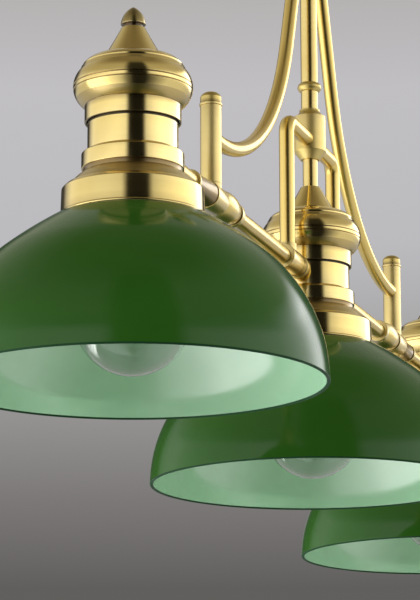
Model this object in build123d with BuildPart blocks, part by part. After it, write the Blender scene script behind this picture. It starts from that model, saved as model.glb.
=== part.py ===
"""Three-shade pool table lamp: brass hanging frame, green glass shades, hang-straight ceiling swivel.

Millimetres. X runs along the bar, Z is up and the ceiling is the plane Z = 0.
Heights inside a lamp head are taken from the rim of its shade, heights in the frame from the bar.
"""
import os
from math import cos, radians, sin

from build123d import *

os.makedirs("parts", exist_ok=True)

# Overall layout
drop = 790.0            # ceiling to the rims of the shades
lamp_pitch = 505.0      # between neighbouring lamp axes
bar_above_rim = 195.0
bar_z = bar_above_rim - drop
slip = 0.05             # radial room between pieces that plug into each other

# Lamp head: radii, and heights above the rim
shade_r, glass = 150.0, 3.0
dome_side_r, dome_side_angle = 128.0, 52.0
dome_top_r, dome_top_angle = 375.0, 7.0
shoulder_r = 14.0       # rounds the dome into its flat top, under the collar
glass_hole_r, gasket_t = 21.0, 4.0
collar_r, collar_low, collar_top = 55.6, 129.3, 153.5
sheet = 1.4
boss_r, seat_h = 31.0, 147.5      # the socket bears under the seat, the gasket under the boss around it
flare_r, cove_r, cove_h = 49.5, 38.6, 164.0
ring_r, ring_low, ring_top = 39.7, 167.4, 181.8
neck_r, neck_wall, neck_top = 35.1, 3.0, 214.0
sleeve_r, sleeve_low, sleeve_top = 37.4, 204.5, 217.7
cap_r, cap_wide_h, step_r, step_h = 46.4, 233.5, 39.0, 250.8
skirt_r, skirt_low, skirt_tip_r, skirt_top = 21.8, 257.0, 9.3, 281.5
finial_r, finial_low, finial_top = 9.8, 284.2, 298.7
nipple_r, nipple_bore = 4.8, 3.3
socket_r, socket_low, socket_top = 19.5, 110.0, 143.0
shell_r, shell_t = 14.2, 0.7
globe_r, globe_h, bulb_wall, throat_r = 45.0, 51.5, 0.9, 37.8
bulb_cap_r, bulb_cap_low, bulb_cap_top = 13.1, 116.0, 142.6
wire_r = 1.1

# Tube frame: radii, places along the bar, and heights above its axis
bar_r, post_r, stem_r, arm_r, yoke_r, tube_wall = 7.5, 9.0, 8.0, 6.5, 7.0, 2.0
bar_end_x = lamp_pitch - 28
post_x, post_foot, post_body_top, post_tip = 307.0, 12.0, 79.5, 91.5
arm_root, arm_bend_r, arm_bend, arm_turn_r, arm_end_x = 53.0, 236.0, 69.0, 60.0, 22.0
yoke_x, yoke_up, yoke_bend_r, yoke_foot = 79.0, 131.0, 13.0, 14.0
hub_r, hub_low, hub_high = 15.0, 113.0, 162.0
bead_low, bead_high = 179.5, 188.5
upper_hub_r, upper_hub_low, upper_hub_high = 33.0, 360.0, 387.0
plug = 8.0              # how far tube ends and spigots run into their mates

# Ceiling fitting
canopy_r, canopy_h = 65.0, 26.0
strap_length, strap_width, strap_t = 104.0, 19.0, 2.0
slot_gap, slot_length, slot_width = 88.9, 10.0, 4.6
lock_nut_t, canopy_nut_r, canopy_nut_t = 4.0, 12.0, 8.0
fork_top = -(canopy_h + canopy_nut_t + 0.1)
fork_web, fork_r, cheek_gap, cheek_t, cheek_half = -42.5, 12.0, 0.2, 3.8, 9.0
pivot_z, pin_r, tongue_t, tongue_half = -52.0, 3.0, 5.0, 8.0
tongue_body_r, tongue_body_top, tongue_low = 10.0, -66.0, -92.0

lamps = {"left": -lamp_pitch, "centre": 0.0, "right": lamp_pitch}
sides = {"left": -1, "right": 1}

# Height of the glass's flat top, where the three arcs of its profile end
side_turn, top_turn = radians(dome_side_angle), radians(dome_side_angle + dome_top_angle)
shoulder_angle = 90 - dome_side_angle - dome_top_angle
glass_top = (dome_side_r * sin(side_turn) + dome_top_r * (sin(top_turn) - sin(side_turn))
             + shoulder_r * (1 - sin(top_turn)))
boss_low = glass_top + gasket_t


def save(part, label):
    part.label = label
    export_step(part, f"parts/{label}.step")


def vertical(x):
    return Axis((x, 0, 0), (0, 0, 1))


def lamp_section(x):
    """Upright plane through a lamp's axis, from the rim up."""
    return Plane(origin=(x, 0, -drop), x_dir=(1, 0, 0), z_dir=(0, -1, 0))


def frame_section(x, direction=1):
    """Upright plane through the bar at x, from its axis up; its own x points along direction."""
    return Plane(origin=(x, 0, bar_z), x_dir=(direction, 0, 0), z_dir=(0, -direction, 0))


def across(x, direction, height=0.0):
    """Plane square to the bar at x, facing direction, centred at a height above the bar's axis."""
    return Plane(origin=(x, 0, bar_z + height), x_dir=(0, 1, 0), z_dir=(direction, 0, 0))


# ---------------------------------------------------------------- lamp heads
def make_finial(x):
    """Acorn nut on the end of the lamp's threaded tube."""
    with BuildPart() as finial:
        with BuildSketch(lamp_section(x)):
            with BuildLine():
                base = Polyline((nipple_r + slip, skirt_top), (finial_r - 2.4, skirt_top),
                                (finial_r - 2.4, finial_low), (finial_r, finial_low),
                                (finial_r, finial_low + 1))
                acorn = SagittaArc(base @ 1, (0.4, finial_top), -2)
                Polyline(acorn @ 1, (0, finial_top), (0, skirt_top + plug),
                         (nipple_r + slip, skirt_top + plug), base @ 0)
            make_face()
        revolve(axis=vertical(x))
    return finial.part


def make_skirt(x):
    with BuildPart() as skirt:
        with BuildSketch(lamp_section(x)):
            with BuildLine():
                lip = Line((skirt_r, skirt_low), (skirt_r, skirt_low + 2))
                cone = SagittaArc(lip @ 1, (skirt_tip_r, skirt_top), 0.2)
                top = Polyline(cone @ 1, (nipple_r + slip, skirt_top), (nipple_r + slip, skirt_top - sheet),
                               (skirt_tip_r - 1, skirt_top - sheet))
                inside = SagittaArc(top @ 1, (skirt_r - sheet, skirt_low), -0.2)
                Line(inside @ 1, lip @ 0)
            make_face()
        revolve(axis=vertical(x))
    return skirt.part


def make_cap(x):
    """Spun cap: plain sleeve, mushroom bulge with two fine grooves, step, low dome and flat crown."""
    crown_r = 26.0
    with BuildPart() as cap:
        with BuildSketch(lamp_section(x)):
            with BuildLine():
                sleeve = Line((sleeve_r, sleeve_low), (sleeve_r, sleeve_top))
                bulge = ThreePointArc(sleeve @ 1, (cap_r, cap_wide_h - 1), (step_r + 2.4, step_h - 4.9))
                step = Polyline(bulge @ 1, (step_r + 1.2, step_h - 2), (step_r, step_h - 2),
                                (step_r, step_h))
                dome = ThreePointArc(step @ 1, (33.5, 255.2), (crown_r, skirt_low))
                crown = Polyline(dome @ 1, (nipple_r + slip, skirt_low), (nipple_r + slip, skirt_low - sheet),
                                 (crown_r, skirt_low - sheet))
                in_dome = ThreePointArc(crown @ 1, (32.7, 253.9), (step_r - sheet, step_h - 0.6))
                in_step = Polyline(in_dome @ 1, (step_r - sheet, step_h - 3), (step_r + 1, step_h - 5.6))
                in_bulge = ThreePointArc(in_step @ 1, (cap_r - sheet, cap_wide_h - 1),
                                         (sleeve_r - sheet, sleeve_top + 0.6))
                Polyline(in_bulge @ 1, (sleeve_r - sheet, sleeve_low), sleeve @ 0)
            make_face()
        revolve(axis=vertical(x))
        with BuildSketch(lamp_section(x)):
            with Locations((cap_r + 0.15, cap_wide_h + 0.5), (cap_r + 0.1, cap_wide_h - 3)):
                Circle(0.5)
        revolve(axis=vertical(x), mode=Mode.SUBTRACT)
    return cap.part


def make_neck(x, bar_sides):
    """Cross-bored body that the bar plugs into, closed on top and open below."""
    with BuildPart() as neck:
        with BuildSketch(lamp_section(x)):
            with BuildLine():
                Polyline((neck_r, ring_top), (neck_r, neck_top), (nipple_r + slip, neck_top),
                         (nipple_r + slip, neck_top - neck_wall), (neck_r - neck_wall, neck_top - neck_wall),
                         (neck_r - neck_wall, ring_top), close=True)
            make_face()
        revolve(axis=vertical(x))
        for side in bar_sides:
            with BuildSketch(across(x, side)):
                Circle(bar_r + slip)
            extrude(amount=neck_r + 1, mode=Mode.SUBTRACT)
    return neck.part


def make_holder(x):
    """Turned ring, cove and flare, with a hollow boss below that carries the collar and holds the socket."""
    cavity_r, floor, boss_bore = 29.0, 4.0, socket_r + 0.5
    with BuildPart() as holder:
        with BuildSketch(lamp_section(x)):
            with BuildLine():
                foot = Polyline((nipple_r + slip, seat_h), (boss_bore, seat_h), (boss_bore, boss_low),
                                (boss_r, boss_low), (boss_r, collar_top), (flare_r, collar_top))
                flare = SagittaArc(foot @ 1, (cove_r, cove_h), -0.7)
                Polyline(flare @ 1, (cove_r, ring_low), (ring_r, ring_low), (ring_r, ring_top - 2.5),
                         (neck_r + 1, ring_top), (cavity_r, ring_top), (cavity_r, seat_h + floor),
                         (nipple_r + slip, seat_h + floor), foot @ 0)
            make_face()
        revolve(axis=vertical(x))
    return holder.part


def make_collar(x):
    bevel, top_r = 2.8, collar_r - 0.8
    with BuildPart() as collar:
        with BuildSketch(lamp_section(x)):
            with BuildLine():
                Polyline((collar_r, collar_low), (top_r, collar_top - bevel),
                         (top_r - bevel, collar_top), (boss_r + slip, collar_top),
                         (boss_r + slip, collar_top - sheet), (top_r - bevel - 0.6, collar_top - sheet),
                         (top_r - sheet, collar_top - bevel - 0.6), (collar_r - sheet, collar_low + 0.9),
                         close=True)
            make_face()
        revolve(axis=vertical(x))
    return collar.part


def make_shade(x):
    """Blown dome of even thickness: round side, flatter top, shoulder, flat seat round the hole."""
    with BuildPart() as shade:
        with BuildSketch(lamp_section(x)):
            with BuildLine():
                side = JernArc((shade_r, 0), (0, 1), dome_side_r, dome_side_angle)
                top = JernArc(side @ 1, side % 1, dome_top_r, dome_top_angle)
                shoulder = JernArc(top @ 1, top % 1, shoulder_r, shoulder_angle)
                in_side = JernArc((shade_r - glass, 0), (0, 1), dome_side_r - glass, dome_side_angle)
                in_top = JernArc(in_side @ 1, in_side % 1, dome_top_r - glass, dome_top_angle)
                in_shoulder = JernArc(in_top @ 1, in_top % 1, shoulder_r - glass, shoulder_angle)
                Polyline(shoulder @ 1, (glass_hole_r, glass_top), (glass_hole_r, glass_top - glass),
                         in_shoulder @ 1)
                Line(in_side @ 0, side @ 0)
            make_face()
        revolve(axis=vertical(x))
        fillet(shade.edges().group_by(Axis.Z)[0], radius=glass * 0.45)
    return shade.part


def make_bulb_glass(x):
    with BuildPart() as bulb:
        with BuildSketch(lamp_section(x)):
            with BuildLine():
                ball = JernArc((0, globe_h - globe_r), (1, 0), globe_r, 142)
                throat = JernArc(ball @ 1, ball % 1, throat_r, -50)
                seat = Polyline(throat @ 1, (bulb_cap_r - 0.8, bulb_cap_low), (bulb_cap_r - 0.8, 124),
                                (bulb_cap_r - 1.7, 124))
                in_ball = JernArc((0, globe_h - globe_r + bulb_wall), (1, 0), globe_r - bulb_wall, 142)
                in_throat = JernArc(in_ball @ 1, in_ball % 1, throat_r + bulb_wall, -50)
                Polyline(in_throat @ 1, (bulb_cap_r - 1.7, bulb_cap_low), seat @ 1)
                Line(in_ball @ 0, ball @ 0)
            make_face()
        revolve(axis=vertical(x))
    return bulb.part


def make_bulb_cap(x):
    bore = bulb_cap_r - 0.75
    with BuildPart() as bulb_cap:
        with BuildSketch(lamp_section(x)):
            with BuildLine():
                Polyline((bore, bulb_cap_low), (bulb_cap_r, bulb_cap_low), (bulb_cap_r, 136), (9, 140.5),
                         (4.5, 140.5), (4.5, bulb_cap_top), (0, bulb_cap_top), (0, 138), (8, 138),
                         (bore, 134.5), close=True)
            make_face()
        revolve(axis=vertical(x))
    return bulb_cap.part


def lamp_rings(inner_r, outer_r, low, high):
    """One plain ring of this section around each lamp axis."""
    with BuildPart() as rings:
        with BuildSketch(Plane.XY.offset(low - drop)):
            with Locations(*[(x, 0) for x in lamps.values()]):
                Circle(outer_r)
                Circle(inner_r, mode=Mode.SUBTRACT)
        extrude(amount=high - low)
    return rings.part


for name, x in lamps.items():
    save(make_skirt(x), f"skirt_{name}")
    save(make_cap(x), f"cap_{name}")
    save(make_neck(x, [side for side in (-1, 1) if x != side * lamp_pitch]), f"neck_{name}")
    save(make_holder(x), f"holder_{name}")
    save(make_collar(x), f"collar_{name}")
    save(make_shade(x), f"shade_{name}")
    save(make_bulb_glass(x), f"bulb_glass_{name}")
    save(make_bulb_cap(x), f"bulb_cap_{name}")
for name, side in sides.items():
    save(make_finial(side * lamp_pitch), f"finial_{name}")

save(lamp_rings(nipple_bore, nipple_r, socket_top + 0.5, skirt_top + plug - 1), "lamp_nipples")
save(lamp_rings(glass_hole_r + 0.5, boss_r, glass_top, boss_low), "shade_gaskets")
save(lamp_rings(shell_r - shell_t, shell_r, bulb_cap_low + 0.5, socket_top - 1), "screw_shells")

with BuildPart() as sockets:
    for x in lamps.values():
        with BuildSketch(lamp_section(x)):
            with BuildLine():
                Polyline((shell_r + slip, socket_low), (socket_r - 1, socket_low), (socket_r, socket_low + 1),
                         (socket_r, seat_h), (nipple_r + slip, seat_h), (nipple_r + slip, socket_top),
                         (shell_r + slip, socket_top), close=True)
            make_face()
        revolve(axis=vertical(x))
save(sockets.part, "sockets")

with BuildPart() as shade_rings:
    glass_under = glass_top - glass
    for x in lamps.values():
        with BuildSketch(lamp_section(x)):
            with BuildLine():
                Polyline((socket_r + slip, glass_under - 9), (socket_r + 3.4, glass_under - 9),
                         (socket_r + 3.4, glass_under - 4), (30, glass_under - 4), (30, glass_under),
                         (socket_r + slip, glass_under), close=True)
            make_face()
        revolve(axis=vertical(x))
save(shade_rings.part, "shade_rings")


# ---------------------------------------------------------------- bar, posts, arms and yoke
def make_tube(radius, plane, length):
    with BuildPart() as tube:
        with BuildSketch(plane):
            Circle(radius)
            Circle(radius - tube_wall, mode=Mode.SUBTRACT)
        extrude(amount=length)
    return tube.part


def make_post_coupling(side):
    """Turned tee: taper towards the end lamp, long bead and ring towards the middle, boss for the post."""
    x = side * post_x
    with BuildPart() as coupling:
        with BuildSketch(frame_section(x, side)):
            with BuildLine():
                outer = Polyline((58, 0), (58, 9.8), (54, 9.8), (54, 8.7), (14, 11.0), (14, 11.8),
                                 (-14, 11.8), (-14, 10.6))
                bead = ThreePointArc(outer @ 1, (-31, 13.2), (-56, 9.4))
                Polyline(bead @ 1, (-56, 10.8), (-63, 10.8), (-63, 0), outer @ 0)
            make_face()
        revolve(axis=Axis((x, 0, bar_z), (1, 0, 0)))
        for radius, top in ((post_r, post_foot), (post_r - tube_wall - slip, post_foot + plug)):
            with BuildSketch(Plane.XY.offset(bar_z)):
                with Locations((x, 0)):
                    Circle(radius)
            extrude(amount=top)
        for direction in (-1, 1):
            with BuildSketch(across(x + direction * 3, direction)):
                Circle(bar_r + slip)
            extrude(amount=70, mode=Mode.SUBTRACT)
        with BuildSketch(across(x - 5, 1)):
            Circle(bar_r - tube_wall)
        extrude(amount=10, mode=Mode.SUBTRACT)
    return coupling.part


def make_leg_coupling(side):
    """Sleeve under a yoke leg that runs on into the middle lamp's neck."""
    bar_stop = yoke_x - 9
    with BuildPart() as coupling:
        with BuildSketch(frame_section(0, side)):
            with BuildLine():
                Polyline((94, 0), (94, 11), (63, 11), (62, 9.6), (50, 9.6), (49, 11), (42, 11), (41, 7.8),
                         (30, 7.8), (30, 0), close=True)
            make_face()
        revolve(axis=Axis((0, 0, bar_z), (1, 0, 0)))
        for radius, top in ((yoke_r + 1.4, yoke_foot), (yoke_r - tube_wall - slip, yoke_foot + plug)):
            with BuildSketch(Plane.XY.offset(bar_z)):
                with Locations((side * yoke_x, 0)):
                    Circle(radius)
            extrude(amount=top)
        with BuildSketch(Plane.XY.offset(bar_z - 20)):
            Circle(neck_r + slip)
        extrude(amount=40, mode=Mode.SUBTRACT)
        with BuildSketch(across(side * (neck_r - 7), side)):
            Circle(bar_r)
        extrude(amount=10)
        with BuildSketch(across(side * bar_stop, side)):
            Circle(bar_r + slip)
        extrude(amount=30, mode=Mode.SUBTRACT)
        with BuildSketch(across(side * 20, side)):
            Circle(bar_r - tube_wall)
        extrude(amount=60, mode=Mode.SUBTRACT)
    return coupling.part


def make_post(side):
    with BuildPart() as post:
        with BuildSketch(Plane.XY.offset(bar_z + post_foot)):
            with Locations((side * post_x, 0)):
                Circle(post_r)
                Circle(post_r - tube_wall, mode=Mode.SUBTRACT)
        extrude(amount=post_body_top - post_foot)
        with BuildSketch(across(side * post_x, -side, arm_root)):
            Circle(arm_r + slip)
        extrude(amount=post_r + 1, mode=Mode.SUBTRACT)
    return post.part


def sweep_tube(radius, plane, draw):
    """Tube along the path that draw makes on the plane."""
    with BuildPart() as tube:
        with BuildLine(plane) as path:
            draw()
        with BuildSketch(Plane(origin=path.line @ 0, z_dir=path.line % 0)):
            Circle(radius)
            Circle(radius - tube_wall, mode=Mode.SUBTRACT)
        sweep(path=path.line)
    return tube.part


def draw_arm():
    """Level out of the post, up round a long bend, then straight and a last turn to vertical."""
    slope = radians(arm_bend)
    start_x, end_x = post_r + 2, post_x - arm_end_x
    turn_x = end_x - arm_turn_r * (1 - sin(slope))
    bend_x = start_x + arm_bend_r * sin(slope)
    turn_h = arm_root + arm_bend_r * (1 - cos(slope)) + (turn_x - bend_x) * sin(slope) / cos(slope)
    Line((post_r - 1.5, arm_root), (start_x, arm_root))
    bend = JernArc((start_x, arm_root), (1, 0), arm_bend_r, arm_bend)
    straight = Line(bend @ 1, (turn_x, turn_h))
    turn = JernArc(straight @ 1, straight % 1, arm_turn_r, 90 - arm_bend)
    Line(turn @ 1, (end_x, upper_hub_low + plug - 0.5))


def draw_yoke():
    FilletPolyline((hub_r - 2.4, yoke_up), (yoke_x, yoke_up), (yoke_x, yoke_foot), radius=yoke_bend_r)


for name, side in sides.items():
    save(make_tube(bar_r, across(side * (post_x + 3), side), bar_end_x - post_x - 3), f"outer_bar_{name}")
    save(make_tube(bar_r, across(side * (yoke_x - 9), side), post_x - yoke_x + 6), f"mid_bar_{name}")
    save(make_post_coupling(side), f"post_coupling_{name}")
    save(make_leg_coupling(side), f"leg_coupling_{name}")
    save(make_post(side), f"post_{name}")
    save(sweep_tube(arm_r, frame_section(side * post_x, -side), draw_arm), f"sweep_arm_{name}")
    save(sweep_tube(yoke_r, frame_section(0, side), draw_yoke), f"yoke_{name}")

with BuildPart() as post_caps:
    spigot_r = post_r - tube_wall - slip
    for side in sides.values():
        with BuildSketch(frame_section(side * post_x)):
            with BuildLine():
                bead = Polyline((0, post_body_top - plug), (spigot_r, post_body_top - plug),
                                (spigot_r, post_body_top), (post_r + 0.7, post_body_top),
                                (post_r + 0.7, post_body_top + 1.9), (post_r, post_body_top + 1.9),
                                (post_r, post_tip - 4.5))
                dome = ThreePointArc(bead @ 1, (post_r * 0.72, post_tip - 1.3), (0.4, post_tip))
                Polyline(dome @ 1, (0, post_tip), bead @ 0)
            make_face()
        revolve(axis=vertical(side * post_x))
save(post_caps.part, "post_caps")

# ---------------------------------------------------------------- stem and hubs
with BuildPart() as lower_hub:
    with BuildSketch(frame_section(0)):
        with BuildLine():
            outside = Polyline((yoke_r + slip, hub_low), (yoke_r + 2, hub_low), (hub_r, hub_low + plug),
                               (hub_r, hub_high - 7))
            shoulder = SagittaArc(outside @ 1, (stem_r + 1.6, hub_high), 1.6)
            Polyline(shoulder @ 1, (stem_r + slip, hub_high), (stem_r + slip, hub_high - 2 * plug),
                     (yoke_r - tube_wall, hub_high - 2 * plug), (yoke_r - tube_wall, hub_low + plug),
                     (yoke_r + slip, hub_low + plug), outside @ 0)
        make_face()
    revolve(axis=Axis.Z)
    for side in sides.values():
        with BuildSketch(across(side * (hub_r - 2.5), side, yoke_up)):
            Circle(yoke_r + slip)
        extrude(amount=5, mode=Mode.SUBTRACT)
save(lower_hub.part, "lower_hub")

lower_stem_foot = skirt_top - bar_above_rim
lower_stem = make_tube(yoke_r, Plane.XY.offset(bar_z + lower_stem_foot), hub_low + plug - lower_stem_foot)
save(lower_stem, "lower_stem")

stem_foot, stem_head = bar_z + hub_high - 2 * plug, tongue_low + 14
save(make_tube(stem_r, Plane.XY.offset(stem_foot), stem_head - stem_foot), "stem")

with BuildPart() as stem_ring:
    with BuildSketch(frame_section(0)):
        with BuildLine():
            bead = ThreePointArc((stem_r + slip, bead_low), (stem_r + 3.2, (bead_low + bead_high) / 2),
                                 (stem_r + slip, bead_high))
            Line(bead @ 1, bead @ 0)
        make_face()
    revolve(axis=Axis.Z)
save(stem_ring.part, "stem_ring")

with BuildPart() as upper_hub:
    with BuildSketch(frame_section(0)):
        with BuildLine():
            plate = Polyline((stem_r + slip, upper_hub_low), (upper_hub_r, upper_hub_low),
                             (upper_hub_r, upper_hub_low + 10))
            bell = SagittaArc(plate @ 1, (13, upper_hub_high - 4), 3)
            Polyline(bell @ 1, (13, upper_hub_high), (stem_r + slip, upper_hub_high), plate @ 0)
        make_face()
    revolve(axis=Axis.Z)
    with BuildSketch(Plane.XY.offset(bar_z + upper_hub_low)):
        with Locations((-arm_end_x, 0), (arm_end_x, 0)):
            Circle(arm_r + slip)
    extrude(amount=plug, mode=Mode.SUBTRACT)
save(upper_hub.part, "upper_hub")

# ---------------------------------------------------------------- swivel
with BuildPart() as swivel_tongue:
    with BuildSketch(Plane.XY.offset(tongue_low)):
        Circle(tongue_body_r)
    extrude(amount=tongue_body_top - tongue_low)
    chamfer(swivel_tongue.edges().filter_by(GeomType.CIRCLE), length=1)
    with BuildSketch(Plane.XZ):
        with Locations((0, pivot_z)):
            Circle(tongue_half)
        with Locations((0, (pivot_z + tongue_body_top) / 2)):
            Rectangle(2 * tongue_half, pivot_z - tongue_body_top)
    extrude(amount=tongue_t / 2, both=True)
    with BuildSketch(Plane.XZ):
        with Locations((0, pivot_z)):
            Circle(pin_r + slip)
    extrude(amount=tongue_t, both=True, mode=Mode.SUBTRACT)
    with BuildSketch(Plane.XY.offset(tongue_low)):
        Circle(stem_r + slip)
    extrude(amount=14, mode=Mode.SUBTRACT)
save(swivel_tongue.part, "swivel_tongue")

with BuildPart() as swivel_fork:
    with BuildSketch(Plane.XY.offset(fork_web)):
        Circle(fork_r)
    extrude(amount=fork_top - fork_web)
    for side in (-1, 1):
        cheek = Plane(origin=(0, side * (tongue_t / 2 + cheek_gap), 0), x_dir=(-side, 0, 0),
                      z_dir=(0, side, 0))
        with BuildSketch(cheek):
            with Locations((0, pivot_z)):
                Circle(cheek_half)
            with Locations((0, (pivot_z + fork_web) / 2)):
                Rectangle(2 * cheek_half, fork_web - pivot_z)
        extrude(amount=cheek_t)
    with BuildSketch(Plane.XZ):
        with Locations((0, pivot_z)):
            Circle(pin_r)
    extrude(amount=20, both=True, mode=Mode.SUBTRACT)
    for radius, depth in ((nipple_r + slip, 6.2), (nipple_bore, 10)):
        with BuildSketch(Plane.XY.offset(fork_top)):
            Circle(radius)
        extrude(amount=-depth, mode=Mode.SUBTRACT)
save(swivel_fork.part, "swivel_fork")

with BuildPart() as swivel_pin:
    half_pin = tongue_t / 2 + cheek_gap + cheek_t
    with BuildSketch(Plane.XZ):
        with Locations((0, pivot_z)):
            Circle(pin_r)
    extrude(amount=half_pin, both=True)
    for side in (-1, 1):
        head = Plane(origin=(0, side * half_pin, 0), x_dir=(-side, 0, 0), z_dir=(0, side, 0))
        with BuildSketch(head):
            with Locations((0, pivot_z)):
                Circle(pin_r * 1.5)
        extrude(amount=1.5)
    chamfer(swivel_pin.edges().filter_by(GeomType.CIRCLE).sort_by(Axis.Y)[0], length=0.6)
    chamfer(swivel_pin.edges().filter_by(GeomType.CIRCLE).sort_by(Axis.Y)[-1], length=0.6)
save(swivel_pin.part, "swivel_pin")

# ---------------------------------------------------------------- ceiling
with BuildPart() as ceiling_canopy:
    with BuildSketch(Plane.XZ):
        with BuildLine():
            rim = Line((canopy_r, 0), (canopy_r, -4))
            bowl = ThreePointArc(rim @ 1, (47, -17.5), (16, -canopy_h))
            floor = Polyline(bowl @ 1, (nipple_r + slip, -canopy_h), (nipple_r + slip, sheet - canopy_h),
                             (16, sheet - canopy_h))
            in_bowl = ThreePointArc(floor @ 1, (46.2, -16.4), (canopy_r - sheet, -4))
            Polyline(in_bowl @ 1, (canopy_r - sheet, 0), rim @ 0)
        make_face()
    revolve(axis=Axis.Z)
save(ceiling_canopy.part, "ceiling_canopy")

with BuildPart() as mounting_strap:
    with BuildSketch(Plane.XY):
        Rectangle(strap_length, strap_width)
        Circle(nipple_r + slip, mode=Mode.SUBTRACT)
        with Locations((-slot_gap / 2, 0), (slot_gap / 2, 0)):
            SlotOverall(slot_length, slot_width, mode=Mode.SUBTRACT)
    extrude(amount=-strap_t)
    fillet(mounting_strap.edges().filter_by(Axis.Z).sort_by_distance((0, 0, 0))[-4:], radius=3)
save(mounting_strap.part, "mounting_strap")

canopy_tube_length = -fork_top + 6
with BuildPart() as canopy_tube:
    with BuildSketch(Plane.XY):
        Circle(nipple_r)
        Circle(nipple_bore, mode=Mode.SUBTRACT)
    extrude(amount=-canopy_tube_length)
save(canopy_tube.part, "canopy_tube")

with BuildPart() as lock_nut:
    with BuildSketch(Plane.XY.offset(-strap_t)):
        RegularPolygon(radius=8.1, side_count=6)
        Circle(nipple_r + slip, mode=Mode.SUBTRACT)
    extrude(amount=-lock_nut_t)
save(lock_nut.part, "lock_nut")

with BuildPart() as canopy_nut:
    with BuildSketch(Plane.XY.offset(-canopy_h)):
        Circle(canopy_nut_r)
    extrude(amount=-canopy_nut_t)
    chamfer(canopy_nut.edges(), length=1)
    with BuildSketch(Plane.XY.offset(-canopy_h)):
        Circle(nipple_r + slip)
    extrude(amount=-canopy_nut_t, mode=Mode.SUBTRACT)
save(canopy_nut.part, "canopy_nut")

# ---------------------------------------------------------------- wires
with BuildPart() as lead_wires:
    for side in sides.values():
        with BuildSketch(across(side * 12, side)):
            with Locations((-1.6, 0), (1.6, 0)):
                Circle(wire_r)
        extrude(amount=lamp_pitch - 24)
    with BuildSketch(Plane.XY.offset(seat_h + 10 - drop)):
        with Locations((-1.6, 0), (1.6, 0)):
            Circle(wire_r)
    extrude(amount=stem_head - (seat_h + 10 - drop))
save(lead_wires.part, "lead_wires")
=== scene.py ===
"""Looks of the three-shade pool table lamp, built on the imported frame.

Metres and the frame's own axes: X along the bar, Z up, the ceiling at Z = 0. Outlines of turned pieces are
in millimetres, as (radius, height) from the rim of a shade or from the axis of the bar.
"""
from math import atan2, cos, hypot, pi, radians, sin, tan

import bmesh
import bpy
import numpy as np
from mathutils import Matrix, Vector


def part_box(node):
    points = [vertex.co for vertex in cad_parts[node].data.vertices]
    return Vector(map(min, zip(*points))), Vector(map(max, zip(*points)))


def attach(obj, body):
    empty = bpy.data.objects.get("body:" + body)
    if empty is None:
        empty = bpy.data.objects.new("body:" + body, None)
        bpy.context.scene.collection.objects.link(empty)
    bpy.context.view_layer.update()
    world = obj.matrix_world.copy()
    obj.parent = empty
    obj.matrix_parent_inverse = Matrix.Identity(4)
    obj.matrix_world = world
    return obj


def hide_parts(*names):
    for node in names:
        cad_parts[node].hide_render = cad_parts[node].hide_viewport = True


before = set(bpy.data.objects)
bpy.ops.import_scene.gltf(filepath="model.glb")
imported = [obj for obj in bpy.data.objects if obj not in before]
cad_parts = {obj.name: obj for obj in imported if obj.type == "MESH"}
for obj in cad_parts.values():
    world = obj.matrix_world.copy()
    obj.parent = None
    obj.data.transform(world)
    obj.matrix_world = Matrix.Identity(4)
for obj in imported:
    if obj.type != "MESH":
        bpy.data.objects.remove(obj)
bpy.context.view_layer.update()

MM = 0.001

# ------------------------------------------------------------------ camera
# Fitted to the rims, the bar, the posts and the stem; the roll is in radians.
YAW, PITCH, ROLL = radians(17.674), radians(12.776), -0.0028
CAMERA_AT, LENS_MM, SENSOR_MM = (-2.5644, -0.7181, -1.2193), 176.39, 36
forward = Vector((cos(PITCH) * cos(YAW), cos(PITCH) * sin(YAW), sin(PITCH)))
right = Vector((sin(YAW), -cos(YAW), 0))
up = right.cross(forward)
cam_x = cos(ROLL) * right + sin(ROLL) * up
cam_y = -sin(ROLL) * right + cos(ROLL) * up
camera = bpy.data.objects.new("camera", bpy.data.cameras.new("camera"))
bpy.context.scene.collection.objects.link(camera)
camera.matrix_world = Matrix.Translation(CAMERA_AT) @ Matrix((cam_x, cam_y, -forward)).transposed().to_4x4()
camera.data.sensor_width = SENSOR_MM
camera.data.lens = LENS_MM
camera.data.clip_start, camera.data.clip_end = 0.05, 200
bpy.context.scene.camera = camera


# ------------------------------------------------------------------ outlines
ON_AXIS = 0.01  # an outline point nearer the axis than this lies on it
TINY = 1e-6
TURNED_STEP, ARC_STEP = 1.2, 0.6  # longest step along an arc
MIN_STEPS = 4
GROOVE_STEPS = 12
EDGE_REACH, FULL_EDGE = 0.9, 1.2  # millimetres round an edge, and the turn in radians that counts as 1
CORNER = radians(20)  # an outline that turns by less than this isn't rounded


def turned(start, *moves, heading=90):
    """Points of an outline. A move is (r, h) for a line, ((r, h), (r, h)) for an arc by its middle and end,
    or [radius, degrees] for an arc that carries on the way the outline heads, left turns positive."""
    points = [Vector(start)]
    way = Vector((cos(radians(heading)), sin(radians(heading))))
    for move in moves:
        a = points[-1]
        if isinstance(move, list):
            radius, turn = move[0], radians(move[1])
            centre = a + Vector((-way.y, way.x)) * (radius if turn > 0 else -radius)
            steps = max(MIN_STEPS, int(abs(turn) * radius / TURNED_STEP))
            for i in range(1, steps + 1):
                points.append(centre + Matrix.Rotation(turn * i / steps, 2) @ (a - centre))
            way = Matrix.Rotation(turn, 2) @ way
        elif isinstance(move[0], tuple):
            points += arc_points(a, Vector(move[0]), Vector(move[1]))
        else:
            points.append(Vector(move))
            way = (points[-1] - a).normalized()
    return points


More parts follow.
